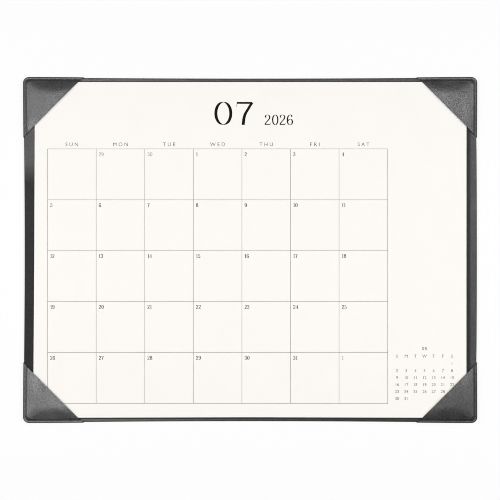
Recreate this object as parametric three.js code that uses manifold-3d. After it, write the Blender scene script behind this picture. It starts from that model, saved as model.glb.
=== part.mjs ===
// A desk pad calendar: a leatherette-covered board with four corner pockets, which hold a
// glue-topped pad of large monthly leaves. It lies flat, +Z up, with +X to the right of the
// printed page and +Y towards its top. The origin is under the middle of the board.
// All lengths are in millimetres.
import * as THREE from "three";
import { mergeVertices } from "three/addons/utils/BufferGeometryUtils.js";
import Module from "manifold-3d";

const wasm = await Module();
wasm.setup();

// The pad of leaves
const padWidth = 557.0;
const padDepth = 431.8;
const leafCount = 12;
const leafThickness = 0.1;
const backingThickness = 0.6;
const glueThickness = 0.3;

// The covered board under it
const sideBorderWidth = 12.9;
const endBorderWidth = 5.8;
const boardThickness = 2.4;
const leatherette = 0.8;
const coverCornerRadius = 6.4;
const coverEdgeRadius = 1.2;
const turnInWidth = 18.0;

// The corner pockets
const pocketLeg = 78.0;
const pocketEdgeRadius = 0.6;
const rimShoulderRadius = 1.1;
const rimWidth = 3.4;
const creaseDepth = 0.35;
const flapCrown = 2.0;
const crownInset = 20.0;
const smallestBend = 0.5;

// The ruled month on the top leaf
const columnCount = 7;
const rowCount = 5;
const columnPitch = 62.5;
const rowPitch = 65.5;
const gridFromPadLeft = 17.9;
const gridFromPadTop = 85.8;
const ruleWidth = 0.5;
const inkThickness = 0.05;

// Fits and facets
const fitGap = 0.3;
const cornerSteps = 9;
const edgeSteps = 4;
const riseSteps = 6;
const crownSteps = 4;

// What follows from them
const coverWidth = padWidth + 2 * sideBorderWidth;
const coverDepth = padDepth + 2 * endBorderWidth;
const boardTop = leatherette + boardThickness;
const coverTop = boardTop + leatherette;
const padTop = coverTop + backingThickness + leafCount * leafThickness;
const pocketStandOut = fitGap + leatherette;
const pocketWidth = coverWidth + 2 * pocketStandOut;
const pocketDepth = coverDepth + 2 * pocketStandOut;
const pocketCornerRadius = coverCornerRadius + pocketStandOut;
const pocketTurnUnder = turnInWidth + pocketStandOut;

const colours = {
  leatherette: new THREE.MeshStandardMaterial({ color: "#4b4b4c", roughness: 0.62, metalness: 0 }),
  greyboard: new THREE.MeshStandardMaterial({ color: "#9a938a", roughness: 0.9, metalness: 0 }),
  felt: new THREE.MeshStandardMaterial({ color: "#2b2b2d", roughness: 0.95, metalness: 0 }),
  chipboard: new THREE.MeshStandardMaterial({ color: "#a99a82", roughness: 0.9, metalness: 0 }),
  paper: new THREE.MeshStandardMaterial({ color: "#fcf9f4", roughness: 0.85, metalness: 0 }),
  glue: new THREE.MeshStandardMaterial({ color: "#e9e4d8", roughness: 0.5, metalness: 0 }),
  ink: new THREE.MeshStandardMaterial({ color: "#77757a", roughness: 0.8, metalness: 0 }),
};

const calendar = new THREE.Group();

function addPiece(name, geometry, material, x = 0, y = 0, z = 0, turn = 0) {
  const piece = new THREE.Mesh(geometry, material);
  piece.name = name;
  piece.position.set(x, y, z);
  piece.rotation.z = turn;
  calendar.add(piece);
}

// Joining and cutting

function solidFrom(geometry) {
  const bare = geometry.clone();
  bare.deleteAttribute("normal");
  bare.deleteAttribute("uv");
  const merged = mergeVertices(bare, 1e-4);
  const mesh = new wasm.Mesh({
    numProp: 3,
    vertProperties: Float32Array.from(merged.attributes.position.array),
    triVerts: Uint32Array.from(merged.index.array),
  });
  return new wasm.Manifold(mesh);
}

function geometryFrom(solid) {
  const mesh = solid.getMesh();
  const geometry = new THREE.BufferGeometry();
  geometry.setAttribute("position", new THREE.BufferAttribute(mesh.vertProperties, 3));
  geometry.setIndex(new THREE.BufferAttribute(mesh.triVerts, 1));
  geometry.computeVertexNormals();
  return geometry;
}

// Flat shapes

function roundedRectangle(width, depth, radius) {
  const x = width / 2;
  const y = depth / 2;
  const quarter = Math.PI / 2;
  const shape = new THREE.Shape();
  shape.moveTo(x - radius, -y);
  shape.absarc(x - radius, -y + radius, radius, -quarter, 0);
  shape.absarc(x - radius, y - radius, radius, 0, quarter);
  shape.absarc(-x + radius, y - radius, radius, quarter, 2 * quarter);
  shape.absarc(-x + radius, -y + radius, radius, 2 * quarter, 3 * quarter);
  return shape;
}

function rectangle(x, y) {
  const corners = [
    new THREE.Vector2(-x, -y),
    new THREE.Vector2(x, -y),
    new THREE.Vector2(x, y),
    new THREE.Vector2(-x, y),
  ];
  return new THREE.Shape(corners);
}

// A plate of a flat shape between two heights, with plain square edges.
function plate(shape, low, high) {
  const settings = { depth: high - low, bevelEnabled: false, curveSegments: cornerSteps };
  const geometry = new THREE.ExtrudeGeometry(shape, settings);
  geometry.translate(0, 0, low);
  return geometry;
}

// The board, the leatherette wrapped round it and the felt under it

function boardGeometry() {
  const inset = leatherette + fitGap;
  const radius = coverCornerRadius - inset;
  const shape = roundedRectangle(coverWidth - 2 * inset, coverDepth - 2 * inset, radius);
  return plate(shape, leatherette, boardTop);
}

// The wrapped panel with its soft outer edges, still solid through.
function wrappedPanel() {
  const flatWidth = coverWidth - 2 * coverEdgeRadius;
  const flatDepth = coverDepth - 2 * coverEdgeRadius;
  const shape = roundedRectangle(flatWidth, flatDepth, coverCornerRadius - coverEdgeRadius);
  const settings = {
    depth: coverTop - 2 * coverEdgeRadius,
    bevelThickness: coverEdgeRadius,
    bevelSize: coverEdgeRadius,
    bevelSegments: edgeSteps,
    curveSegments: cornerSteps,
  };
  const geometry = new THREE.ExtrudeGeometry(shape, settings);
  geometry.translate(0, 0, coverEdgeRadius);
  return solidFrom(geometry);
}

// The space that a pocket's turned-under strips take at one corner of the underside.
function turnUnderSpace(signX, signY) {
  const x = signX * pocketWidth / 2;
  const y = signY * pocketDepth / 2;
  const reach = pocketLeg + fitGap;
  const corners = [
    new THREE.Vector2(x, y),
    new THREE.Vector2(x - signX * reach, y),
    new THREE.Vector2(x, y - signY * reach),
  ];
  return solidFrom(plate(new THREE.Shape(corners), -leatherette, leatherette));
}

// The leatherette covers the top and the edges, and its turned-in border is glued underneath.
// The border stops short at the corners, where the pockets' own strips are glued instead.
function coverGeometry() {
  const innerWidth = coverWidth - 2 * leatherette;
  const innerDepth = coverDepth - 2 * leatherette;
  const innerShape = roundedRectangle(innerWidth, innerDepth, coverCornerRadius - leatherette);
  const x = coverWidth / 2 - turnInWidth;
  const y = coverDepth / 2 - turnInWidth;
  const window = plate(rectangle(x, y), -leatherette, leatherette + boardThickness / 2);
  let cover = wrappedPanel();
  cover = cover.subtract(solidFrom(plate(innerShape, leatherette, boardTop)));
  cover = cover.subtract(solidFrom(window));
  for (const signX of [-1, 1]) {
    for (const signY of [-1, 1]) {
      cover = cover.subtract(turnUnderSpace(signX, signY));
    }
  }
  return geometryFrom(cover);
}

// The felt fills the window inside the turned-in border, flush with it.
function feltGeometry() {
  const x = coverWidth / 2 - turnInWidth - fitGap;
  const y = coverDepth / 2 - turnInWidth - fitGap;
  return plate(rectangle(x, y), 0, leatherette);
}

// One corner pocket, modelled with its outer corner at the origin and the board towards -X and -Y.
// It is one folded piece of leatherette. Its section is a chain of points [inset, height], from
// the flap's crown over the crease and the rim, round the edge of the board, under it, and back
// along the inside to the underside of the flap. Each point runs round the corner as a ring.

function pocketSection() {
  const rimTop = coverTop + fitGap + leatherette;
  const creaseTop = rimTop - creaseDepth;
  const flapTop = padTop + fitGap + leatherette;
  const riseEnd = pocketStandOut + Math.min(endBorderWidth, sideBorderWidth) - glueThickness;
  const rise = [];
  for (let i = 0; i <= riseSteps; i += 1) {
    const t = i / riseSteps;
    rise.push([rimWidth + (riseEnd - rimWidth) * t, Math.sin(t * Math.PI / 2)]);
  }
  const crown = [];
  for (let i = 1; i <= crownSteps; i += 1) {
    const t = i / crownSteps;
    crown.push([riseEnd + (crownInset - riseEnd) * t, flapCrown * Math.sin(t * Math.PI / 2)]);
  }
  const section = [];
  for (const [inset, lift] of crown.toReversed()) {
    section.push([inset, flapTop + lift]);
  }
  for (const [inset, share] of rise.toReversed()) {
    section.push([inset, creaseTop + (flapTop - creaseTop) * share]);
  }
  section.push([rimWidth * 0.7, rimTop - creaseDepth * 0.3]);
  for (let i = 0; i <= edgeSteps; i += 1) {
    const angle = (i / edgeSteps) * Math.PI / 2;
    const inset = rimShoulderRadius * (1 - Math.sin(angle));
    section.push([inset, rimTop - rimShoulderRadius * (1 - Math.cos(angle))]);
  }
  for (let i = 0; i <= edgeSteps; i += 1) {
    const angle = (i / edgeSteps) * Math.PI / 2;
    const inset = pocketEdgeRadius * (1 - Math.cos(angle));
    section.push([inset, pocketEdgeRadius * (1 - Math.sin(angle))]);
  }
  section.push([pocketTurnUnder, 0]);
  section.push([pocketTurnUnder, leatherette]);
  section.push([leatherette, leatherette]);
  section.push([leatherette, coverTop + fitGap]);
  for (const [inset, share] of rise) {
    section.push([inset, coverTop + fitGap + (padTop - coverTop) * share]);
  }
  for (const [inset, lift] of crown) {
    section.push([inset, flapTop - leatherette + lift]);
  }
  return section;
}

// The ring at one inset: from the mouth of the pocket along one side, round the corner, and
// along the other side back to the mouth.
function pocketRing(inset, height) {
  const radius = Math.max(pocketCornerRadius - Math.min(inset, rimWidth), smallestBend);
  const isTurnUnderEnd = inset === pocketTurnUnder;
  const cornerRadius = isTurnUnderEnd ? smallestBend : radius;
  const ring = [new THREE.Vector3(-pocketLeg + inset, -inset, height)];
  for (let i = 0; i <= cornerSteps; i += 1) {
    const angle = Math.PI / 2 * (1 - i / cornerSteps);
    const centre = -inset - cornerRadius;
    const x = centre + cornerRadius * Math.cos(angle);
    const y = centre + cornerRadius * Math.sin(angle);
    ring.push(new THREE.Vector3(x, y, height));
  }
  ring.push(new THREE.Vector3(-inset, -pocketLeg + inset, height));
  return ring;
}

function pocketGeometry() {
  const rings = pocketSection().map(([inset, height]) => pocketRing(inset, height));
  const perRing = rings[0].length;
  const at = (ring, point) => ring * perRing + point;
  const faces = [];
  for (let ring = 0; ring < rings.length - 1; ring += 1) {
    for (let point = 0; point < perRing - 1; point += 1) {
      faces.push([at(ring, point), at(ring, point + 1), at(ring + 1, point)]);
      faces.push([at(ring, point + 1), at(ring + 1, point + 1), at(ring + 1, point)]);
    }
  }
  // The middle of the flap, on top and underneath
  const last = rings.length - 1;
  for (let point = 1; point < perRing - 1; point += 1) {
    faces.push([at(0, 0), at(0, point + 1), at(0, point)]);
    faces.push([at(last, 0), at(last, point), at(last, point + 1)]);
  }
  // The cut face at the mouth, which passes through the first and last point of every ring
  const mouth = [];
  for (let ring = 0; ring < rings.length; ring += 1) {
    mouth.push(at(ring, 0));
  }
  for (let ring = last; ring >= 0; ring -= 1) {
    mouth.push(at(ring, perRing - 1));
  }
  const points = rings.flat();
  const outline = mouth.map((index) => new THREE.Vector2(points[index].x, points[index].z));
  const turnsLeft = THREE.ShapeUtils.area(outline) > 0;
  for (const [a, b, c] of THREE.ShapeUtils.triangulateShape(outline, [])) {
    const face = turnsLeft ? [a, b, c] : [a, c, b];
    faces.push(face.map((corner) => mouth[corner]));
  }
  const geometry = new THREE.BufferGeometry().setFromPoints(points);
  geometry.setIndex(faces.flat());
  geometry.computeVertexNormals();
  return geometry;
}

// The ruled lines of the month, as one thin layer of ink with an open cell for each day.
// Each rule has two edges, so between the edges the even bands are ruled and the odd ones open.

function ruleEdges(first, pitch, ruleCount) {
  const edges = [];
  for (let rule = 0; rule < ruleCount; rule += 1) {
    const middle = first + rule * pitch;
    edges.push(middle - ruleWidth / 2, middle + ruleWidth / 2);
  }
  return edges;
}

function monthGridGeometry() {
  const bottom = padDepth / 2 - gridFromPadTop - rowCount * rowPitch;
  const xEdges = ruleEdges(-padWidth / 2 + gridFromPadLeft, columnPitch, columnCount + 1);
  const yEdges = ruleEdges(bottom, rowPitch, rowCount + 1);
  const points = [];
  for (const height of [padTop, padTop + inkThickness]) {
    for (const y of yEdges) {
      points.push(...xEdges.map((x) => new THREE.Vector3(x, y, height)));
    }
  }
  const at = (i, j, layer) => (layer * yEdges.length + j) * xEdges.length + i;
  const inside = (i, j) => i >= 0 && j >= 0 && i < xEdges.length - 1 && j < yEdges.length - 1;
  const isRuled = (i, j) => inside(i, j) && (i % 2 === 0 || j % 2 === 0);
  const indices = [];
  const addFace = (a, b, c, d) => indices.push(a, b, c, a, c, d);
  const addWall = (i, j, k, l) => addFace(at(i, j, 0), at(k, l, 0), at(k, l, 1), at(i, j, 1));
  for (let i = 0; i < xEdges.length - 1; i += 1) {
    for (let j = 0; j < yEdges.length - 1; j += 1) {
      if (!isRuled(i, j)) {
        continue;
      }
      addFace(at(i, j, 1), at(i + 1, j, 1), at(i + 1, j + 1, 1), at(i, j + 1, 1));
      addFace(at(i, j, 0), at(i, j + 1, 0), at(i + 1, j + 1, 0), at(i + 1, j, 0));
      if (!isRuled(i, j - 1)) {
        addWall(i, j, i + 1, j);
      }
      if (!isRuled(i + 1, j)) {
        addWall(i + 1, j, i + 1, j + 1);
      }
      if (!isRuled(i, j + 1)) {
        addWall(i + 1, j + 1, i, j + 1);
      }
      if (!isRuled(i - 1, j)) {
        addWall(i, j + 1, i, j);
      }
    }
  }
  const geometry = new THREE.BufferGeometry().setFromPoints(points);
  geometry.setIndex(indices);
  geometry.computeVertexNormals();
  return geometry;
}

function flatBlock(width, depth, low, high) {
  const geometry = new THREE.BoxGeometry(width, depth, high - low);
  geometry.translate(0, 0, (low + high) / 2);
  return geometry;
}

addPiece("base_board", boardGeometry(), colours.greyboard);
addPiece("base_cover", coverGeometry(), colours.leatherette);
addPiece("base_felt", feltGeometry(), colours.felt);

const leavesBottom = coverTop + backingThickness;
addPiece("pad_backing", flatBlock(padWidth, padDepth, coverTop, leavesBottom), colours.chipboard);
addPiece("calendar_leaves", flatBlock(padWidth, padDepth, leavesBottom, padTop), colours.paper);

// The glue along the top edge holds the leaves to the backing, and each tears off it in turn.
const glue = flatBlock(padWidth, glueThickness, coverTop, padTop);
addPiece("pad_glue_edge", glue, colours.glue, 0, (padDepth + glueThickness) / 2);

addPiece("month_grid", monthGridGeometry(), colours.ink);

const pocketPlaces = [
  ["corner_pocket_top_right", 1, 1, 0],
  ["corner_pocket_top_left", -1, 1, 1],
  ["corner_pocket_bottom_left", -1, -1, 2],
  ["corner_pocket_bottom_right", 1, -1, 3],
];
for (const [name, signX, signY, quarterTurns] of pocketPlaces) {
  const x = signX * pocketWidth / 2;
  const y = signY * pocketDepth / 2;
  addPiece(name, pocketGeometry(), colours.leatherette, x, y, 0, quarterTurns * Math.PI / 2);
}

export default calendar;
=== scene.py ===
"""Dresses a desk pad calendar: grained leatherette pockets and cover, paper leaves and print."""

import math
import random

import bmesh
import bpy
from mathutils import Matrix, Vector


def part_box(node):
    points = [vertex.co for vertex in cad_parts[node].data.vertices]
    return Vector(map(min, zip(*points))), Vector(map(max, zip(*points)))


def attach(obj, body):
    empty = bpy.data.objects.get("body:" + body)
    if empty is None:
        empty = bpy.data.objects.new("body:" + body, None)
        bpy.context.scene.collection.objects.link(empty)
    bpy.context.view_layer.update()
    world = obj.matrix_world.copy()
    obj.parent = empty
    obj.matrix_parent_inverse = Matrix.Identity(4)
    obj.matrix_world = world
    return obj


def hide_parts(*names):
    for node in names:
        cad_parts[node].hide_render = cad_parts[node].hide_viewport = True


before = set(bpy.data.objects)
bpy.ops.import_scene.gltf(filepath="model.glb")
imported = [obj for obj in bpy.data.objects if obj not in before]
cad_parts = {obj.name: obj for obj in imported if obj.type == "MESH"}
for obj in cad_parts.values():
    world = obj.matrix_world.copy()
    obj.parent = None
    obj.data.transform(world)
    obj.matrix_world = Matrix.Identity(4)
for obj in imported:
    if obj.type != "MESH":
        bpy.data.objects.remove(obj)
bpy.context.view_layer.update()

MM = 0.001
BODY = "root"


# Sizes, all in millimetres. Those of the solids are measured on the frame.

def node_box(name):
    """The lowest and highest corners of a solid."""
    low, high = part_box(name)
    return [value / MM for value in low], [value / MM for value in high]


COVER_X, COVER_Y, COVER_TOP = node_box("base_cover")[1]
LEAVES_LOW, LEAVES_HIGH = node_box("calendar_leaves")
LEAVES_X, LEAVES_Y, PAD_TOP = LEAVES_HIGH
LEAVES_BOTTOM = LEAVES_LOW[2]
POCKET_LOW, POCKET_HIGH = node_box("corner_pocket_top_right")
POCKET_X, POCKET_Y = POCKET_HIGH[:2]
POCKET_LEG = POCKET_X - POCKET_LOW[0]
GLUE_Y = node_box("pad_glue_edge")[1][1]

LEATHERETTE = 0.8
FIT_GAP = 0.3
TURN_IN = 18.0
COVER_RADIUS = 6.4
POCKET_RADIUS = COVER_RADIUS + FIT_GAP + LEATHERETTE

# A pocket's rim, from the crease where the flap starts to rise out to the rounded shoulder
RIM_WIDTH = 2.9
CREASE_DEPTH = 0.2
SHOULDER_WIDTH = 1.1
SHOULDER_HEIGHT = 1.1

LEAF_COUNT = 12
LEAF_THICKNESS = 0.088
INK_THICKNESS = 0.03


# Building blocks

def new_piece(name, mesh, material, slot, *nodes):
    """Adds a piece that rides on the one body and stands for the nodes given."""
    piece = bpy.data.objects.new(name, mesh)
    bpy.context.scene.collection.objects.link(piece)
    mesh.materials.clear()
    mesh.materials.append(material)
    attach(piece, BODY)
    if nodes:
        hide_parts(*nodes)
    return piece


def mesh_from(bm, name, smooth=True):
    """Ends the building of a mesh, with all its faces turned outwards."""
    bmesh.ops.recalc_face_normals(bm, faces=bm.faces)
    mesh = bpy.data.meshes.new(name)
    bm.to_mesh(mesh)
    bm.free()
    for face in mesh.polygons:
        face.use_smooth = smooth
    return mesh


def apply_modifiers(piece):
    """Bakes the modifiers into the mesh, so that the piece is the mesh that shows."""
    evaluated = piece.evaluated_get(bpy.context.evaluated_depsgraph_get())
    mesh = bpy.data.meshes.new_from_object(evaluated)
    piece.modifiers.clear()
    piece.data = mesh


def give_thickness(piece, thickness, edge_round):
    """Thickens a sheet inwards from its outer face and rounds its cut edges."""
    solid = piece.modifiers.new("thickness", "SOLIDIFY")
    solid.thickness = thickness * MM
    solid.offset = -1
    solid.use_even_offset = False
    edges = piece.modifiers.new("soft edges", "BEVEL")
    edges.width = edge_round * MM
    edges.segments = 2
    edges.limit_method = "ANGLE"
    edges.angle_limit = math.radians(50)
    apply_modifiers(piece)


# Materials. Noise scales are waves per metre, and the depths of bumps are in millimetres.

class Nodes:
    """A short way to write a node material."""

    def __init__(self, name):
        self.material = bpy.data.materials.new(name)
        self.material.use_nodes = True
        self.tree = self.material.node_tree
        self.shader = self.tree.nodes["Principled BSDF"]

    def add(self, kind, inputs=None, **settings):
        """A new node. An input is a fixed value or another node's socket."""
        node = self.tree.nodes.new(kind)
        for key, value in settings.items():
            setattr(node, key, value)
        for key, value in (inputs or {}).items():
            if hasattr(value, "is_linked"):
                self.tree.links.new(value, node.inputs[key])
            else:
                node.inputs[key].default_value = value
        return node

    def link(self, output, name):
        self.tree.links.new(output, self.shader.inputs[name])

    def fix(self, name, value):
        """Gives an input of the shader the same value all over."""
        self.shader.inputs[name].default_value = value

    def place(self):
        return self.add("ShaderNodeTexCoord").outputs["Object"]

    def axes(self):
        return self.add("ShaderNodeSeparateXYZ", {"Vector": self.place()}).outputs

    def noise(self, scale, detail, roughness=0.5, stretch=(1, 1, 1)):
        place = self.add("ShaderNodeMapping", {"Vector": self.place(), "Scale": stretch})
        inputs = {
            "Vector": place.outputs["Vector"],
            "Scale": scale,
            "Detail": detail,
            "Roughness": roughness,
        }
        return self.add("ShaderNodeTexNoise", inputs).outputs["Fac"]

    def ramp(self, value, *stops):
        """A colour ramp over a value. A stop is (position, colour)."""
        node = self.add("ShaderNodeValToRGB", {"Fac": value})
        elements = node.color_ramp.elements
        while len(elements) < len(stops):
            elements.new(0.5)
        for element, (position, colour) in zip(elements, stops):
            element.position = position
            element.color = (*colour, 1)
        return node.outputs["Color"]

    def grey_ramp(self, value, *stops):
        return self.ramp(value, *[(position, (grey,) * 3) for position, grey in stops])

    def calculate(self, operation, *values):
        """The result of one sum on numbers or sockets."""
        node = self.add("ShaderNodeMath", dict(enumerate(values)), operation=operation)
        return node.outputs[0]

    def ranged(self, value, places, shares):
        """A place along an axis, between two in millimetres, as a share between two others."""
        inputs = {
            "Value": value,
            "From Min": places[0] * MM,
            "From Max": places[1] * MM,
            "To Min": shares[0],
            "To Max": shares[1],
        }
        return self.add("ShaderNodeMapRange", inputs).outputs["Result"]

    def darkened(self, colour, grey):
        """A colour times a grey. The node's sockets 6 and 7 in and 2 out are those of colours."""
        inputs = {0: 1.0, 6: colour, 7: grey}
        mix = self.add("ShaderNodeMix", inputs, data_type="RGBA", blend_type="MULTIPLY")
        return mix.outputs[2]

    def bump(self, height, depth, strength, under=None):
        """A bumpy surface, on top of another where one is given."""
        inputs = {"Height": height, "Distance": depth * MM, "Strength": strength}
        if under is not None:
            inputs["Normal"] = under
        return self.add("ShaderNodeBump", inputs).outputs["Normal"]


LEATHER_INDEX = 1.7
LEATHER_DARK = (0.018, 0.018, 0.019)

# Painted sheen of the grain: the gloss in the grooves and on the pebbles' tops, as shares of the
# pocket's own
CREASE_PAINTED_SHEEN = 0.52
PEBBLE_PAINTED_SHEEN = 0.95

# A pocket's gloss on its outermost edges, at the side and at the top or bottom, as shares, lowered
# there as painted shade, and how far down the side from its corner the tip's own share of gloss,
# a painted sheen and shade, starts and is full
SIDE_EDGE_GLOSS = 0.3
END_EDGE_GLOSS = 0.45
TIP_GLOSS_START = 28
TIP_GLOSS_FULL = 60

# Where painted sheen brightens the cover's borders: the gloss across a border between two places,
# and the share of it along the border between two others
BORDER_PAINTED_SHEEN = {
    "right": (("X", (282, 285), (0.11, 0.38)), ("Y", (-120, 100), (0.78, 1.03))),
    "top": (("Y", (217, 218), (0, 1)), ("X", (-170, -20), (0.68, 0.38))),
    "bottom": (("Y", (-217, -218), (0, 1)), ("X", (-170, 120), (0.58, 0.14))),
    "upper left": (("X", (-250, -270), (0, 1)), ("Y", (88, 113), (0, 0.33))),
}


def leatherette_nodes(name, light, grain_size, grain_depth, roughness):
    """Embossed leatherette: rounded pebbles with fine grooves between, and a slight mottle, with
    painted shade darkening its colour in the grooves.
    Gives its nodes, still without a gloss, and the distance from the nearest crease."""
    nodes = Nodes(name)
    warp = nodes.noise(scale=260, detail=2.0)
    shift = nodes.add("ShaderNodeVectorMath", {0: warp, 1: (MM, MM, MM)}, operation="MULTIPLY")
    bent = nodes.add("ShaderNodeVectorMath", {0: nodes.place(), 1: shift.outputs[0]})
    inputs = {"Vector": bent.outputs[0], "Scale": 1 / (grain_size * MM), "Randomness": 1.0}
    cells = nodes.add("ShaderNodeTexVoronoi", inputs, feature="DISTANCE_TO_EDGE")
    off_crease = cells.outputs["Distance"]
    pebbles = nodes.grey_ramp(off_crease, (0.0, 0.0), (0.16, 0.7), (0.5, 1.0))
    # Painted shade: the colour darkens to 0.45 of itself in the grooves between the pebbles.
    crease_shade = nodes.grey_ramp(off_crease, (0.0, 0.45), (0.14, 1.0))
    fine = nodes.noise(scale=2600, detail=2.0)
    soft = nodes.noise(scale=42, detail=3.0)
    colour = nodes.ramp(soft, (0.32, LEATHER_DARK), (0.7, light))
    nodes.link(nodes.darkened(colour, crease_shade), "Base Color")
    worn = nodes.grey_ramp(soft, (0.3, roughness - 0.05), (0.7, roughness + 0.06))
    nodes.link(worn, "Roughness")
    nodes.fix("IOR", LEATHER_INDEX)
    broad = nodes.bump(soft, depth=0.5, strength=0.35)
    tiny = nodes.bump(fine, depth=0.03, strength=0.5, under=broad)
    nodes.link(nodes.bump(pebbles, depth=grain_depth, strength=1.0, under=tiny), "Normal")
    return nodes, off_crease


def pocket_material(name, gloss, tip_share):
    """Glossy leatherette, its gloss lowered round its outermost edge as painted shade, and with its
    own share of gloss at the tip on the side border as painted sheen and shade at that tip."""
    nodes, off_crease = leatherette_nodes(
        name, light=(0.037, 0.037, 0.038), grain_size=2.3, grain_depth=0.06, roughness=0.41)
    # Painted sheen: the gloss follows the grain, dim in the grooves and bright on the pebbles' tops.
    painted_sheen = nodes.grey_ramp(off_crease, (0.0, gloss * CREASE_PAINTED_SHEEN), (0.2, gloss * PEBBLE_PAINTED_SHEEN))
    # Painted shade on the outermost edges, and painted sheen and shade at the tip on the side
    # border.
    changes = (
        ("X", (POCKET_X - RIM_WIDTH, POCKET_X - SHOULDER_WIDTH), (1.0, SIDE_EDGE_GLOSS)),
        ("Y", (POCKET_Y - RIM_WIDTH, POCKET_Y - SHOULDER_WIDTH), (1.0, END_EDGE_GLOSS)),
        ("Y", (POCKET_Y - TIP_GLOSS_FULL, POCKET_Y - TIP_GLOSS_START), (tip_share, 1.0)),
    )
    axes = nodes.axes()
    for axis, places, shares in changes:
        from_middle = nodes.calculate("ABSOLUTE", axes[axis])
        painted_sheen = nodes.calculate("MULTIPLY", painted_sheen, nodes.ranged(from_middle, places, shares))
    nodes.link(painted_sheen, "Specular IOR Level")
    return nodes.material


def cover_material():
    """Duller and darker leatherette than the pockets', as painted shade, with painted sheen along
    its borders that is stronger in some places than in others.
    """
    # Painted shade: a darker colour than the pockets' leatherette.
    nodes, _ = leatherette_nodes(
        "cover leatherette", light=(0.028, 0.028, 0.029), grain_size=1.5, grain_depth=0.12,
        roughness=0.42)
    axes = nodes.axes()
    painted_sheen = 0.0
    # Painted sheen: each border's gloss rises across it and changes along it.
    for border in BORDER_PAINTED_SHEEN.values():
        across, along = [
            nodes.ranged(axes[axis], places, shares) for axis, places, shares in border]
        painted_sheen = nodes.calculate("ADD", painted_sheen, nodes.calculate("MULTIPLY", across, along))
    nodes.link(painted_sheen, "Specular IOR Level")
    return nodes.material


def paper_material(name, colour, tooth):
    """Uncoated paper with a faint fibre tooth and cloudiness."""
    nodes = Nodes(name)
    clouds = nodes.noise(scale=24, detail=4.0)
    fibres = nodes.noise(scale=1800, detail=3.0, stretch=(1, 0.4, 1))
    deeper = tuple(channel * 0.985 for channel in colour)
    nodes.link(nodes.ramp(clouds, (0.3, deeper), (0.7, colour)), "Base Color")
    nodes.link(nodes.grey_ramp(clouds, (0.3, 0.8), (0.7, 0.9)), "Roughness")
    nodes.fix("Specular IOR Level", 0.2)
    nodes.link(nodes.bump(fibres, depth=tooth, strength=0.6), "Normal")
    return nodes.material


def ink_material(name, colour):
    """Printed ink, a little uneven where the paper's tooth shows through."""
    nodes = Nodes(name)
    grains = nodes.noise(scale=3000, detail=2.0)
    paler = tuple(channel * 1.3 for channel in colour)
    nodes.link(nodes.ramp(grains, (0.35, colour), (0.75, paler)), "Base Color")
    nodes.link(nodes.grey_ramp(grains, (0.3, 0.6), (0.7, 0.75)), "Roughness")
    nodes.fix("Specular IOR Level", 0.1)
    return nodes.material


def board_material(name, dark, light, tooth):
    """Grey or brown board with flecks of recycled fibre."""
    nodes = Nodes(name)
    flecks = nodes.noise(scale=700, detail=5.0, roughness=0.7, stretch=(1, 0.35, 1))
    nodes.link(nodes.ramp(flecks, (0.35, dark), (0.65, light)), "Base Color")
    nodes.link(nodes.grey_ramp(flecks, (0.3, 0.82), (0.7, 0.95)), "Roughness")
    nodes.link(nodes.bump(flecks, depth=tooth, strength=0.7), "Normal")
    return nodes.material


def felt_material(name, dark, light):
    """Pressed felt: short tangled fibres and a soft sheen."""
    nodes = Nodes(name)
    fibres = nodes.noise(scale=1500, detail=6.0, roughness=0.75, stretch=(1, 1, 0.3))
    tufts = nodes.noise(scale=240, detail=3.0)
    nodes.link(nodes.ramp(fibres, (0.3, dark), (0.7, light)), "Base Color")
    nodes.link(nodes.grey_ramp(tufts, (0.3, 0.9), (0.7, 1.0)), "Roughness")
    nodes.fix("Sheen Weight", 0.25)
    tufted = nodes.bump(tufts, depth=0.2, strength=0.5)
    nodes.link(nodes.bump(fibres, depth=0.15, strength=0.8, under=tufted), "Normal")
    return nodes.material


def glue_material(name, colour):
    """Brushed padding glue, slightly glossy and streaked along the edge."""
    nodes = Nodes(name)
    streaks = nodes.noise(scale=300, detail=3.0, stretch=(0.1, 1, 1))
    deeper = tuple(channel * 0.9 for channel in colour)
    nodes.link(nodes.ramp(streaks, (0.3, deeper), (0.7, colour)), "Base Color")
    nodes.link(nodes.grey_ramp(streaks, (0.3, 0.35), (0.7, 0.5)), "Roughness")
    nodes.link(nodes.bump(streaks, depth=0.1, strength=0.6), "Normal")
    return nodes.material


LEAF_PAPER = paper_material("leaf paper", (0.972, 0.947, 0.905), tooth=0.01)
LINE_INK = ink_material("grey line ink", (0.17, 0.165, 0.172))
DARK_INK = ink_material("black ink", (0.004, 0.004, 0.005))
SOFT_INK = ink_material("soft grey ink", (0.11, 0.107, 0.11))
PALE_INK = ink_material("pale grey ink", (0.26, 0.25, 0.25))


def dress_kept_nodes():
    """The felt, the glue and the ruled lines keep their solids and get their own finish."""
    finishes = {
        "base_felt": felt_material("felt", (0.012, 0.012, 0.014), (0.045, 0.045, 0.05)),
        "pad_glue_edge": glue_material("padding glue", (0.82, 0.79, 0.7)),
        "month_grid": LINE_INK,
    }
    for name, material in finishes.items():
        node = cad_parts[name]
        node.data.materials.clear()
        node.data.materials.append(material)


# Leatherette wrapped round an edge. A ring is one line of points at an inset from the edge.

def eased(t):
    return math.sin(t * math.pi / 2)


def round_over(width, drop, top, steps=7):
    """(inset, height) pairs from a flat top out over a rounded shoulder to an upright side."""
    pairs = []
    for i in range(steps + 1):
        angle = (i / steps) * math.pi / 2
        pairs.append((width * (1 - math.sin(angle)), top - drop * (1 - math.cos(angle))))
    return pairs


def round_under(radius, steps=5):
    """(inset, height) pairs from an upright side round to the flat underside."""
    pairs = []
    for i in range(steps + 1):
        angle = (i / steps) * math.pi / 2
        pairs.append((radius * (1 - math.cos(angle)), radius * (1 - math.sin(angle))))
    return pairs


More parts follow.
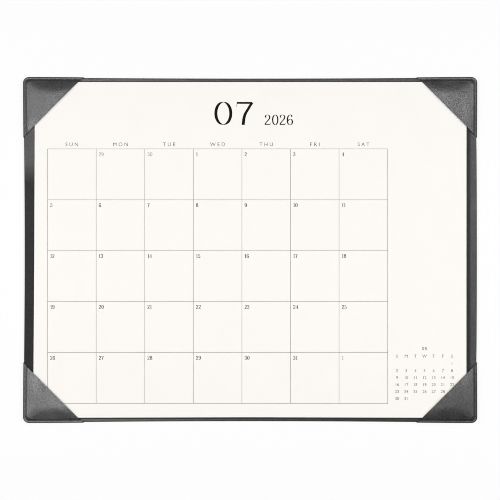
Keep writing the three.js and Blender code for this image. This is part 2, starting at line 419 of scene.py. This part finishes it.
def join_rings(bm, rings, closed):
    """Faces between neighbouring rings of as many points each."""
    rows = [[bm.verts.new(Vector(point) * MM) for point in ring] for ring in rings]
    for row, following in zip(rows, rows[1:]):
        count = len(row) if closed else len(row) - 1
        for i in range(count):
            j = (i + 1) % len(row)
            bm.faces.new((row[i], row[j], following[j], following[i]))
    return rows


def add_prism(bm, outline, low, high):
    """A flat slab with this outline."""
    lower = [bm.verts.new((x * MM, y * MM, low * MM)) for x, y in outline]
    upper = [bm.verts.new((x * MM, y * MM, high * MM)) for x, y in outline]
    bm.faces.new(list(reversed(lower)))
    bm.faces.new(upper)
    for i in range(len(outline)):
        j = (i + 1) % len(outline)
        bm.faces.new((lower[i], lower[j], upper[j], upper[i]))


# The corner pockets. Their points are placed from the outer corner of the top right one.

# The flap rises from the crease up to the pad's edge, then crowns towards its middle
FLAP_RISE_END = POCKET_Y - GLUE_Y
FLAP_LOW = PAD_TOP + FIT_GAP + LEATHERETTE
FLAP_CROWN = 2.2
CROWN_INSET = 22.0
FLAP_END_GAP = 0.4

# The crease: how far out its foot and its far lip lie, and how much they are rounded
CREASE_FOOT = 0.3
CREASE_LIP = 0.7
CREASE_ROUND = 0.03

UNDER_RADIUS = 0.6
UNDER_START = 2.0
POCKET_EDGE_ROUND = 0.22

# The bend round the corner gets wider away from the rim, up to a limit, and tight at the mouth
BEND_GROWTH = 0.55
WIDEST_BEND = 9.0
MOUTH_BEND = 0.8
TIGHTEST_BEND = 0.3
TIGHTEST_UNDER = 0.5

# The mouth's edge settles towards the paper, and the sides draw in at the tips
MOUTH_SETTLE = 0.3
MOUTH_REACH = 7.0
TIP_TAPER = 0.4

FLAP_STEPS = 22
RISE_STEPS = 9
SHOULDER_STEPS = 9
LEG_STEPS = 34
CORNER_STEPS = 14

# Name, signs of x and y, gloss, share of it at the tip, and hollows in the flap. The gloss and its
# share at the tip differ between pockets as painted sheen and shade, darkest on the bottom right.
# A hollow is (x, y, width, depth), placed from the outer corner.
POCKETS = [
    ("pocket_top_left", -1, 1, 0.88, 1.0, [(-20, -30, 12, 0.2), (-48, -14, 10, 0.15)]),
    ("pocket_top_right", 1, 1, 0.91, 0.72, [(-26, -22, 14, 0.25), (-14, -50, 9, 0.15)]),
    ("pocket_bottom_left", -1, -1, 1.0, 1.0, [(-17, -24, 10, 0.2), (-34, -34, 12, 0.15)]),
    ("pocket_bottom_right", 1, -1, 0.47, 1.3, [(-24, -16, 12, 0.25), (-12, -44, 10, 0.2)]),
]


def pocket_section():
    """(inset, height) pairs from the middle of the flap out over the rim, round and under."""
    rim_top = COVER_TOP + FIT_GAP + LEATHERETTE
    crease_top = rim_top - CREASE_DEPTH
    last_inset = POCKET_LEG / 2 - FLAP_END_GAP
    pairs = []
    for i in range(FLAP_STEPS + 1):
        t = i / FLAP_STEPS
        inset = last_inset + (FLAP_RISE_END - last_inset) * eased(t)
        crown = min(1, (inset - FLAP_RISE_END) / (CROWN_INSET - FLAP_RISE_END))
        pairs.append((inset, FLAP_LOW + FLAP_CROWN * eased(crown)))
    start = pairs[-1][1]
    for i in range(1, RISE_STEPS + 1):
        t = 1 - i / RISE_STEPS
        inset = RIM_WIDTH + (FLAP_RISE_END - RIM_WIDTH) * t
        pairs.append((inset, crease_top + (start - crease_top) * eased(t)))
    pairs.append((RIM_WIDTH - CREASE_FOOT, crease_top + CREASE_ROUND))
    pairs.append((RIM_WIDTH - CREASE_LIP, rim_top - CREASE_ROUND))
    pairs += round_over(SHOULDER_WIDTH, SHOULDER_HEIGHT, rim_top, SHOULDER_STEPS)
    pairs += round_under(UNDER_RADIUS)
    under_end = TURN_IN + FIT_GAP + LEATHERETTE
    pairs += [(UNDER_START, 0.0), (under_end / 2, 0.0), (under_end, 0.0)]
    return pairs


def bend_radius(inset):
    """The radius of a ring's bend round the corner, on top of the pocket."""
    outer = POCKET_RADIUS - min(inset, RIM_WIDTH)
    widened = outer + BEND_GROWTH * max(0, inset - RIM_WIDTH)
    at_mouth = (POCKET_LEG / 2 - inset) * MOUTH_BEND
    return max(TIGHTEST_BEND, min(widened, WIDEST_BEND, at_mouth))


def pocket_ring(inset, height, under):
    """Points from the mouth along one leg, round the corner and back to the mouth."""
    radius = max(TIGHTEST_UNDER, POCKET_RADIUS - inset) if under else bend_radius(inset)
    bend = inset + radius
    leg = POCKET_LEG - inset - bend
    spots = [(1 - math.cos(i / LEG_STEPS * math.pi / 2)) for i in range(LEG_STEPS)]
    ring = [(-POCKET_LEG + inset + leg * spot, -inset, height) for spot in spots]
    for i in range(CORNER_STEPS + 1):
        angle = math.pi / 2 * (1 - i / CORNER_STEPS)
        ring.append((-bend + radius * math.cos(angle), -bend + radius * math.sin(angle), height))
    ring += [(-inset, -POCKET_LEG + inset + leg * spot, height) for spot in reversed(spots)]
    return ring


def drawn_in(along, across):
    """How far a side draws in at this place, where the leatherette hugs the board."""
    if -across >= RIM_WIDTH * 2:
        return 0
    return TIP_TAPER * (along / POCKET_LEG) ** 2


def soft_form(x, y, z, hollows):
    """The height of a point, with the mouth settled on the paper and the flap's slight hollows."""
    if z < COVER_TOP + FIT_GAP:
        return z
    mouth = (POCKET_LEG + x + y) / math.sqrt(2)
    over_pad = min(1, max(0, (min(-x, -y) - RIM_WIDTH) / (FLAP_RISE_END - RIM_WIDTH)))
    lift = max(0, z - FLAP_LOW)
    z -= lift * MOUTH_SETTLE * math.exp(-((mouth / MOUTH_REACH) ** 2))
    for hollow_x, hollow_y, width, depth in hollows:
        distance = math.hypot(x - hollow_x, y - hollow_y) / width
        z -= depth * math.exp(-distance * distance) * over_pad
    return z


def add_pocket(name, sign_x, sign_y, gloss, tip_share, hollows):
    """One corner's leatherette: the flap over the pad, the rounded edge and the turned-in part."""
    bm = bmesh.new()
    rings = []
    for inset, height in pocket_section():
        ring = []
        for x, y, z in pocket_ring(inset, height, under=height < COVER_TOP / 2):
            ring.append((x - drawn_in(y, x), y - drawn_in(x, y), soft_form(x, y, z, hollows)))
        rings.append(ring)
    rows = join_rings(bm, rings, closed=False)
    bm.faces.new(rows[0])
    for vertex in bm.verts:
        vertex.co.x = sign_x * (vertex.co.x + POCKET_X * MM)
        vertex.co.y = sign_y * (vertex.co.y + POCKET_Y * MM)
    mesh = mesh_from(bm, name)
    leather = pocket_material(name + " leatherette", gloss, tip_share)
    piece = new_piece(name, mesh, leather, "leatherette", "corner_" + name)
    give_thickness(piece, LEATHERETTE, POCKET_EDGE_ROUND)


def add_pockets():
    for pocket in POCKETS:
        add_pocket(*pocket)


# The cover and its board

# How far each side bows inwards between its pockets. The right one bows outwards, and its bow is
# fuller: a power under one of the others' shape.
RIGHT_BOW = -0.9
RIGHT_BOW_POWER = 0.4
TOP_BOW = 0.75
LEFT_BOW = 0.75
BOTTOM_BOW = 1.1
BOW_FADE = 8

# The right border falls away from a little outside the leaves
RIGHT_FALL = 0.7
FALL_START = 3
FALL_POWER = 0.5

# The insets of the rings on the flat top, closer to each other towards the edge
FLAT_INSETS = (40.0, 20.0, 14.0, 10.0, 8.0, 6.0, 4.0, 2.6)
COVER_SHOULDER = 1.5
COVER_UNDER_RADIUS = 1.0
COVER_EDGE_ROUND = 0.2
TIGHTEST_CORNER = 0.4
CORNER_FACETS = 10
SIDE_POINTS = 24


def bow_at(place, half_length):
    """The share of the bow at a place along a side: none at the pockets, full in the middle."""
    free = half_length - POCKET_LEG
    return math.cos(place / free * math.pi / 2) if abs(place) < free else 0


def bowed(x, y):
    """Moves a point of the cover by the bow of the sides it is near."""
    share = bow_at(y, POCKET_Y)
    side_x = share ** RIGHT_BOW_POWER * RIGHT_BOW if x > 0 else -share * LEFT_BOW
    side_y = bow_at(x, POCKET_X) * (TOP_BOW if y > 0 else -BOTTOM_BOW)
    near_x = (abs(x) / COVER_X) ** BOW_FADE
    near_y = (abs(y) / COVER_Y) ** BOW_FADE
    return x - side_x * near_x, y - side_y * near_y


def cover_ring(inset):
    """The outline of the covered board at this inset, with points along the sides as well."""
    x = COVER_X - inset
    y = COVER_Y - inset
    radius = max(TIGHTEST_CORNER, COVER_RADIUS - inset)
    outline = []
    corners = [(1, 1, 0), (-1, 1, 1), (-1, -1, 2), (1, -1, 3)]
    for sign_x, sign_y, turns in corners:
        for i in range(CORNER_FACETS + 1):
            angle = (turns + i / CORNER_FACETS) * math.pi / 2
            across = sign_x * (x - radius) + radius * math.cos(angle)
            along = sign_y * (y - radius) + radius * math.sin(angle)
            outline.append((across, along))
    ring = []
    for i, (start_x, start_y) in enumerate(outline):
        end_x, end_y = outline[(i + 1) % len(outline)]
        parts = SIDE_POINTS if i % (CORNER_FACETS + 1) == CORNER_FACETS else 1
        for part in range(parts):
            t = part / parts
            point = (start_x + (end_x - start_x) * t, start_y + (end_y - start_y) * t)
            ring.append(bowed(*point))
    return ring


def fallen(x, y, height):
    """The right border falls away a little from the pad to its outer edge."""
    start = LEAVES_X + FALL_START
    t = (x - start) / (COVER_X - start)
    if t <= 0 or height < COVER_TOP / 2:
        return height
    return height - RIGHT_FALL * t * t * bow_at(y, POCKET_Y) ** FALL_POWER


def add_board():
    """The greyboard, which follows the cover round it."""
    bm = bmesh.new()
    add_prism(bm, cover_ring(LEATHERETTE + FIT_GAP), LEATHERETTE, COVER_TOP - LEATHERETTE)
    mesh = mesh_from(bm, "greyboard", smooth=False)
    greyboard = board_material("greyboard", (0.26, 0.24, 0.21), (0.4, 0.37, 0.33), tooth=0.08)
    new_piece("greyboard", mesh, greyboard, "greyboard", "base_board")


def add_cover():
    """The leatherette over the board: flat on top, round at the edge, turned in underneath."""
    section = [(inset, COVER_TOP) for inset in FLAT_INSETS]
    section += round_over(COVER_SHOULDER, COVER_SHOULDER, COVER_TOP)
    section += round_under(COVER_UNDER_RADIUS)
    section.append((TURN_IN, 0.0))
    rings = []
    for inset, height in section:
        rings.append([(x, y, fallen(x, y, height)) for x, y in cover_ring(inset)])
    bm = bmesh.new()
    rows = join_rings(bm, rings, closed=True)
    bm.faces.new(rows[0])
    mesh = mesh_from(bm, "board_cover")
    piece = new_piece("board_cover", mesh, cover_material(), "leatherette", "base_cover")
    give_thickness(piece, LEATHERETTE, COVER_EDGE_ROUND)


# The leaves

# How far the pad's edges lie inside the nominal ones at their ends
PAD_INSETS = {
    "left_top": 1.5,
    "left_bottom": -0.6,
    "right_top": 0.1,
    "right_bottom": 0.3,
    "bottom": 0.1,
}

# How far the bottom and left edges curve in at their middles
BOTTOM_SAG = 0.7
LEFT_SAG = 0.4

UNEVENNESS = 0.1
BACKING_INSET = 0.3


def add_leaf(bm, low, high, left_top, left_bottom, right_top, right_bottom, bottom):
    """A thin slab in the pad, with its edges inside the nominal ones by these amounts."""
    x = LEAVES_X
    y = LEAVES_Y
    outline = [
        (-x + left_bottom, -y + bottom),
        (0, -y + bottom + BOTTOM_SAG),
        (x - right_bottom, -y + bottom),
        (x - right_top, y),
        (-x + left_top, y),
        (-x + (left_top + left_bottom) / 2 + LEFT_SAG, 0),
    ]
    add_prism(bm, outline, low, high)


def add_leaves():
    """The pad was trimmed a little out of square, and its lower leaves lie a touch unevenly."""
    chance = random.Random(7)
    pitch = (PAD_TOP - LEAVES_BOTTOM) / LEAF_COUNT
    bm = bmesh.new()
    for leaf in range(LEAF_COUNT):
        low = LEAVES_BOTTOM + leaf * pitch
        high = PAD_TOP if leaf == LEAF_COUNT - 1 else low + LEAF_THICKNESS
        insets = {}
        for edge, inset in PAD_INSETS.items():
            insets[edge] = inset + chance.uniform(-UNEVENNESS, UNEVENNESS)
        add_leaf(bm, low, high, **insets)
    mesh = mesh_from(bm, "leaves", smooth=False)
    new_piece("leaves", mesh, LEAF_PAPER, "leaf_paper", "calendar_leaves")


def add_backing():
    """The card under the leaves, cut just inside their edges."""
    insets = {edge: inset + BACKING_INSET for edge, inset in PAD_INSETS.items()}
    bm = bmesh.new()
    add_leaf(bm, COVER_TOP, LEAVES_BOTTOM, **insets)
    mesh = mesh_from(bm, "backing", smooth=False)
    card = board_material("backing card", (0.33, 0.27, 0.18), (0.46, 0.39, 0.28), tooth=0.05)
    new_piece("backing", mesh, card, "backing_card", "pad_backing")


# The print, placed by the pixels of the photograph

# Millimetres per pixel, where the object is widest and on the page, which is nearer to the lens
SCALE = 1.2885
PAGE_SCALE = 1.2867
CENTRE_X_PX = 250.15
CENTRE_Y_PX = 250.0

COLUMNS = 7
ROWS = 5
FIRST_LEFT_PX = 47.6
FIRST_TOP_PX = 148.9
COLUMN_PX = 48.6
ROW_PX = 50.9

# A numeral's space is (width, height) in millimetres. A nib is its half widths across the page
# and up it.
TITLE_BASE_PX = 124.9
MONTH_LEFT_PX = 212.5
MONTH_SIZE = (48.0, 29.8)
MONTH_NIB = (1.95, 0.24)
YEAR_LEFT_PX = 264.0
YEAR_SIZE = (16.6, 13.1)
YEAR_NIB = (0.85, 0.22)

DAY_MARK_BASE_PX = 146.2
DAY_MARK_HEIGHT_PX = 3.7
DAY_MARK_SPACING = 1.55

DATE_LEFT_PX = 2.5
DATE_BASE_PX = 7.2
DATE_SIZE = (5.7, 4.8)
DATE_NIB = (0.4, 0.15)
NEIGHBOUR_NIB = (0.34, 0.14)

# Where the month starts, and the days of it, of the month before and of the next
FIRST_DAY_COLUMN = 3
DAYS = 31
DAYS_BEFORE = 30
NEXT_DAYS = 31

# The next month's small table
SMALL_LEFT_PX = 397
SMALL_COLUMN_PX = 9.17
SMALL_TITLE_X_PX = 424.4
SMALL_TITLE_BASE_PX = 350.2
SMALL_TITLE_HEIGHT_PX = 3.2
SMALL_TITLE_SPACING = 1.2
SMALL_MARK_BASE_PX = 357.6
SMALL_MARK_HEIGHT_PX = 3.0
SMALL_DATE_BASE_PX = 365.2
SMALL_DATE_HEIGHT_PX = 2.9
SMALL_ROW_PX = 6.95

# Each stroke of a numeral is a hair higher than the one before, so that none coincide
INK_LAYER = 0.002
MERGE_DISTANCE = 1e-7


def page(x_px, y_px):
    """A place on the page, in millimetres, from a place in the photograph."""
    return (x_px - CENTRE_X_PX) * PAGE_SCALE, (CENTRE_Y_PX - y_px) * PAGE_SCALE


# Numerals, drawn with a nib that is wide across and thin up and down. Each is in a space one
# high. A stroke is (kind, points), a loop is (kind, (centre, radii)) and a dot ends some strokes.
NUMERALS = {
    "0": [("loop", ((0.29, 0.5), (0.2, 0.49)))],
    "1": [
        ("pen", [(0.24, 0.0), (0.24, 0.99)]),
        ("hair", [(0.24, 0.985), (0.07, 0.9)]),
        ("bar", [(0.08, 0.012), (0.4, 0.012)]),
    ],
    "2": [
        ("curve", [(0.1, 0.77), (0.14, 0.92), (0.27, 0.99), (0.41, 0.9), (0.44, 0.72),
                   (0.35, 0.5), (0.18, 0.26), (0.07, 0.05)]),
        ("foot", [(0.07, 0.045), (0.48, 0.045)]),
        ("hair", [(0.47, 0.05), (0.5, 0.2)]),
        ("dot", (0.13, 0.77)),
    ],
    "3": [
        ("curve", [(0.1, 0.82), (0.16, 0.95), (0.27, 0.99), (0.39, 0.9), (0.4, 0.7),
                   (0.31, 0.56), (0.2, 0.53)]),
        ("curve", [(0.2, 0.53), (0.33, 0.5), (0.44, 0.36), (0.43, 0.13), (0.3, 0.01),
                   (0.16, 0.03), (0.08, 0.15)]),
        ("dot", (0.13, 0.82)),
        ("dot", (0.12, 0.17)),
    ],
    "4": [
        ("hair", [(0.38, 0.98), (0.03, 0.29)]),
        ("bar", [(0.03, 0.28), (0.54, 0.28)]),
        ("pen", [(0.38, 0.0), (0.38, 0.98)]),
        ("bar", [(0.25, 0.012), (0.51, 0.012)]),
    ],
    "5": [
        ("foot", [(0.12, 0.955), (0.44, 0.955)]),
        ("hair", [(0.12, 0.97), (0.11, 0.53)]),
        ("curve", [(0.11, 0.53), (0.24, 0.61), (0.38, 0.56), (0.45, 0.37), (0.42, 0.13),
                   (0.29, 0.01), (0.15, 0.03), (0.08, 0.15)]),
        ("dot", (0.12, 0.17)),
    ],
    "6": [
        ("curve", [(0.43, 0.85), (0.38, 0.96), (0.28, 0.99), (0.15, 0.88), (0.08, 0.62),
                   (0.08, 0.34), (0.14, 0.1), (0.27, 0.01), (0.41, 0.09), (0.46, 0.3),
                   (0.41, 0.5), (0.29, 0.57), (0.16, 0.48), (0.1, 0.36)]),
        ("dot", (0.4, 0.85)),
    ],
    "7": [
        ("foot", [(0.07, 0.95), (0.48, 0.95)]),
        ("hair", [(0.08, 0.97), (0.06, 0.78)]),
        ("curve", [(0.48, 0.96), (0.38, 0.7), (0.28, 0.4), (0.24, 0.0)]),
    ],
    "8": [
        ("loop", ((0.28, 0.765), (0.145, 0.225))),
        ("loop", ((0.28, 0.275), (0.19, 0.265))),
    ],
}
NUMERAL_WIDTH = 0.58
WIDTH_OF_ONE = 0.47
FOOT_SHARE = 0.62
SIX_WIDTH = 0.54


def upside_down(points):
    """A stroke of the six, turned round into one of the nine."""
    return [(SIX_WIDTH - x, 1 - y) for x, y in points]


NUMERALS["9"] = []
for stroke_kind, stroke_points in NUMERALS["6"]:
    if stroke_kind == "dot":
        turned = upside_down([stroke_points])[0]
    else:
        turned = upside_down(stroke_points)
    NUMERALS["9"].append((stroke_kind, turned))


def loop(centre, radii, steps=40):
    """The points of an ellipse."""
    points = []
    for i in range(steps):
        angle = 2 * math.pi * i / steps
        x = centre[0] + radii[0] * math.cos(angle)
        points.append((x, centre[1] + radii[1] * math.sin(angle)))
    return points


def smooth_path(points, steps=7):
    """A curve through all the points."""
    ends = [points[0], *points, points[-1]]
    path = []
    for a, b, c, d in zip(ends, ends[1:], ends[2:], ends[3:]):
        for i in range(steps):
            t = i / steps
            spot = []
            for k in range(2):
                cubic = 3 * (b[k] - c[k]) + d[k] - a[k]
                square = 2 * a[k] - 5 * b[k] + 4 * c[k] - d[k]
                spot.append(b[k] + 0.5 * t * (c[k] - a[k] + t * (square + t * cubic)))
            path.append(tuple(spot))
    return [*path, points[-1]]


def nib_offset(before, after, wide, thin):
    """How far the nib's edge lies from the middle of a stroke that runs in this direction."""
    along_x = after[0] - before[0]
    along_y = after[1] - before[1]
    length = math.hypot(along_x, along_y) or 1
    normal_x = -along_y / length
    normal_y = along_x / length
    reach = math.hypot(wide * normal_x, thin * normal_y)
    return wide * wide * normal_x / reach, thin * thin * normal_y / reach


def add_slab(bm, left, right, low, high, closed):
    """A flat closed band between two edges."""
    layers = []
    for edge in (left, right):
        for height in (low, high):
            layers.append([bm.verts.new((x * MM, y * MM, height * MM)) for x, y in edge])
    left_low, left_high, right_low, right_high = layers
    around = [left_low, left_high, right_high, right_low]
    count = len(left) if closed else len(left) - 1
    for first, second in zip(around, [*around[1:], around[0]]):
        for i in range(count):
            j = (i + 1) % len(left)
            bm.faces.new((first[i], first[j], second[j], second[i]))
    if not closed:
        bm.faces.new([layer[0] for layer in around])
        bm.faces.new([layer[-1] for layer in reversed(around)])


def add_stroke(bm, path, wide, thin, low, high, closed=False):
    """A line of ink along a path, as wide as the nib is in each direction."""
    left = []
    right = []
    for i, (x, y) in enumerate(path):
        before = path[i - 1] if closed or i else path[i]
        after = path[(i + 1) % len(path)] if closed or i < len(path) - 1 else path[i]
        across, up = nib_offset(before, after, wide, thin)
        left.append((x + across, y + up))
        right.append((x - across, y - up))
    add_slab(bm, left, right, low, high, closed)


def add_dot(bm, centre, radius, low, high):
    add_prism(bm, loop(centre, (radius, radius), steps=16), low, high)


def stroke_nib(kind, stem, hair):
    """The nib's half widths, across the page and up it, for a kind of stroke."""
    if kind in ("pen", "curve", "loop"):
        return stem, hair
    if kind == "foot":
        return stem, stem * FOOT_SHARE
    return hair, hair


def add_numeral(bm, numeral, left, base, size, nib):
    """Size is the width and height of the numeral's space, and the nib its half widths."""
    width, height = size
    for layer, (kind, points) in enumerate(NUMERALS[numeral]):
        high = PAD_TOP + INK_THICKNESS + INK_LAYER * layer
        if kind == "dot":
            x, y = points
            add_dot(bm, (left + x * width, base + y * height), nib[0], PAD_TOP, high)
            continue
        if kind == "loop":
            (x, y), (radius_x, radius_y) = points
            centre = (left + x * width, base + y * height)
            path = loop(centre, (radius_x * width, radius_y * height))
        else:
            path = [(left + x * width, base + y * height) for x, y in points]
        if kind == "curve":
            path = smooth_path(path)
        add_stroke(bm, path, *stroke_nib(kind, *nib), PAD_TOP, high, closed=kind == "loop")


def add_numerals(bm, text, left, base, size, nib):
    """Writes numerals one after the other from a left edge."""
    for numeral in text:
        add_numeral(bm, numeral, left, base, size, nib)
        left += (WIDTH_OF_ONE if numeral == "1" else NUMERAL_WIDTH) * size[0]


def add_words(bm, text, centre_x, base, height, spacing=1.0):
    """Plain marks in the built-in font, centred, with its capitals this high."""
    curve = bpy.data.curves.new("words", "FONT")
    curve.body = text
    curve.align_x = "CENTER"
    curve.space_character = spacing
    curve.resolution_u = 4
    curve.extrude = 1.0
    words = bpy.data.objects.new("words", curve)
    bpy.context.scene.collection.objects.link(words)
    evaluated = words.evaluated_get(bpy.context.evaluated_depsgraph_get())
    mesh = bpy.data.meshes.new_from_object(evaluated)
    bottom = min(vertex.co.y for vertex in mesh.vertices)
    scale = height / (max(vertex.co.y for vertex in mesh.vertices) - bottom)
    for vertex in mesh.vertices:
        x, y, z = vertex.co
        top = PAD_TOP + (INK_THICKNESS if z > 0 else 0)
        across = centre_x + x * scale
        vertex.co = Vector((across * MM, (base + (y - bottom) * scale) * MM, top * MM))
    bm.from_mesh(mesh)
    bpy.data.objects.remove(words)
    bpy.data.meshes.remove(mesh)
    bpy.data.curves.remove(curve)


def print_piece(name, bm, ink):
    bmesh.ops.remove_doubles(bm, verts=bm.verts, dist=MERGE_DISTANCE)
    mesh = mesh_from(bm, name, smooth=False)
    new_piece(name, mesh, ink, "printed_ink")


def add_title():
    """The month and year as plain numerals."""
    title = bmesh.new()
    month_left, base = page(MONTH_LEFT_PX, TITLE_BASE_PX)
    add_numerals(title, "07", month_left, base, MONTH_SIZE, MONTH_NIB)
    year_left, base = page(YEAR_LEFT_PX, TITLE_BASE_PX)
    add_numerals(title, "2026", year_left, base, YEAR_SIZE, YEAR_NIB)
    print_piece("title_numerals", title, DARK_INK)


def add_day_marks():
    """Three letters over the middle of each column."""
    marks = bmesh.new()
    for column, day in enumerate(["SUN", "MON", "TUE", "WED", "THU", "FRI", "SAT"]):
        x, base = page(FIRST_LEFT_PX + (column + 0.5) * COLUMN_PX, DAY_MARK_BASE_PX)
        add_words(marks, day, x, base, DAY_MARK_HEIGHT_PX * SCALE, DAY_MARK_SPACING)
    print_piece("day_marks", marks, SOFT_INK)


def add_dates():
    """The days of the month in black, and those of its neighbours in grey. The first cell is
    bare."""
    own_dates = bmesh.new()
    neighbour_dates = bmesh.new()
    for cell in range(1, COLUMNS * ROWS):
        column = cell % COLUMNS
        row = cell // COLUMNS
        x_px = FIRST_LEFT_PX + column * COLUMN_PX + DATE_LEFT_PX
        left, base = page(x_px, FIRST_TOP_PX + row * ROW_PX + DATE_BASE_PX)
        day = cell - FIRST_DAY_COLUMN + 1
        if day < 1:
            date = str(day + DAYS_BEFORE)
            add_numerals(neighbour_dates, date, left, base, DATE_SIZE, NEIGHBOUR_NIB)
        elif day > DAYS:
            date = str(day - DAYS)
            add_numerals(neighbour_dates, date, left, base, DATE_SIZE, NEIGHBOUR_NIB)
        else:
            add_numerals(own_dates, str(day), left, base, DATE_SIZE, DATE_NIB)
    print_piece("dates", own_dates, DARK_INK)
    print_piece("neighbour_dates", neighbour_dates, PALE_INK)


def add_small_month():
    """The next month in small plain numerals, with one letter for each day of the week."""
    small = bmesh.new()
    x, base = page(SMALL_TITLE_X_PX, SMALL_TITLE_BASE_PX)
    add_words(small, "08", x, base, SMALL_TITLE_HEIGHT_PX * SCALE, SMALL_TITLE_SPACING)
    columns_px = [SMALL_LEFT_PX + SMALL_COLUMN_PX * i for i in range(COLUMNS)]
    for letter, column_px in zip("SMTWTFS", columns_px):
        x, base = page(column_px, SMALL_MARK_BASE_PX)
        add_words(small, letter, x, base, SMALL_MARK_HEIGHT_PX * SCALE)
    first_column = (FIRST_DAY_COLUMN + DAYS) % COLUMNS
    for day in range(1, NEXT_DAYS + 1):
        cell = first_column + day - 1
        row = cell // COLUMNS
        x, base = page(columns_px[cell % COLUMNS], SMALL_DATE_BASE_PX + SMALL_ROW_PX * row)
        add_words(small, str(day), x, base, SMALL_DATE_HEIGHT_PX * SCALE)
    print_piece("small_month", small, SOFT_INK)


def add_print():
    add_title()
    add_day_marks()
    add_dates()
    add_small_month()


# The floor, the light and the camera, in metres

FLOOR_HALF_SIZE = 6.0
FLOOR_DROP = 0.0002
FLOOR_WHITE = (0.96, 0.96, 0.96, 1)
FLOOR_GLOW = 0.75
WORLD_STRENGTH = 0.13

# Softboxes: elevation in degrees, distance, width, height and power in watts
OVERHEAD = (90, 2.3, 2.2, 0.4, 15.2)
SIDE_HIGH = (62, 1.8, 0.6, 0.5, 7.6)
SIDE_LOW = (38, 1.7, 0.6, 1.0, 5.6)

# The lens and sensor in millimetres, the picture's width and the height that is seen at its scale
LENS = 110
SENSOR = 36
PICTURE_PX = 500
SCALE_HEIGHT = 3.0 * MM
CAMERA_X = -0.0002
FAR_CLIP = 20
FILTER_WIDTH = 1.0


def add_floor():
    """A floor that looks white, also in reflections, and still takes the object's shadow."""
    bm = bmesh.new()
    bmesh.ops.create_grid(bm, x_segments=1, y_segments=1, size=FLOOR_HALF_SIZE)
    mesh = mesh_from(bm, "floor")
    floor = bpy.data.objects.new("floor", mesh)
    bpy.context.scene.collection.objects.link(floor)
    floor.location.z = -FLOOR_DROP
    nodes = Nodes("floor")
    nodes.fix("Base Color", FLOOR_WHITE)
    nodes.fix("Roughness", 1.0)
    nodes.fix("Specular IOR Level", 0.0)
    rays = nodes.add("ShaderNodeLightPath").outputs
    seen = rays["Is Camera Ray"]
    for ray in ("Is Glossy Ray", "Is Transmission Ray"):
        seen = nodes.calculate("MAXIMUM", seen, rays[ray])
    white = nodes.add("ShaderNodeEmission", {"Color": (1, 1, 1, 1), "Strength": 1.0})
    share = nodes.calculate("MULTIPLY", seen, FLOOR_GLOW)
    inputs = {0: share, 1: nodes.shader.outputs["BSDF"], 2: white.outputs["Emission"]}
    mixed = nodes.add("ShaderNodeMixShader", inputs)
    output = nodes.tree.nodes["Material Output"]
    nodes.tree.links.new(mixed.outputs["Shader"], output.inputs["Surface"])
    mesh.materials.append(nodes.material)


def add_light(name, azimuth, elevation, distance, width, height, power):
    """A softbox that looks at the object from this side."""
    data = bpy.data.lights.new(name, "AREA")
    data.shape = "RECTANGLE"
    data.size = width
    data.size_y = height
    data.energy = power
    light = bpy.data.objects.new(name, data)
    bpy.context.scene.collection.objects.link(light)
    turn = math.radians(azimuth)
    tilt = math.radians(elevation)
    away = Vector((math.cos(turn) * math.cos(tilt), math.sin(turn) * math.cos(tilt), math.sin(tilt)))
    light.location = away * distance
    light.rotation_euler = away.to_track_quat("Z", "Y").to_euler()


def add_lights():
    """One softbox overhead, two on each side, and an even studio light."""
    add_light("overhead softbox", 0, *OVERHEAD)
    for side, azimuth in (("left", 180), ("right", 0)):
        add_light(side + " high softbox", azimuth, *SIDE_HIGH)
        add_light(side + " low softbox", azimuth, *SIDE_LOW)
    world = bpy.data.worlds.new("studio")
    bpy.context.scene.world = world
    world.use_nodes = True
    background = world.node_tree.nodes["Background"]
    background.inputs["Strength"].default_value = WORLD_STRENGTH
    background.inputs["Color"].default_value = (1, 1, 1, 1)


def add_camera():
    """Straight above, with the lens long enough that the pockets hardly lean."""
    data = bpy.data.cameras.new("camera")
    data.lens = LENS
    data.sensor_width = SENSOR
    data.clip_end = FAR_CLIP
    camera = bpy.data.objects.new("camera", data)
    bpy.context.scene.collection.objects.link(camera)
    width = PICTURE_PX * SCALE * MM
    camera.location = (CAMERA_X, 0, (width * LENS / SENSOR) + SCALE_HEIGHT)
    bpy.context.scene.camera = camera


dress_kept_nodes()
add_board()
add_cover()
add_pockets()
add_backing()
add_leaves()
add_print()
add_floor()
add_lights()
add_camera()
bpy.context.scene.view_settings.view_transform = "Standard"
bpy.context.scene.cycles.filter_width = FILTER_WIDTH
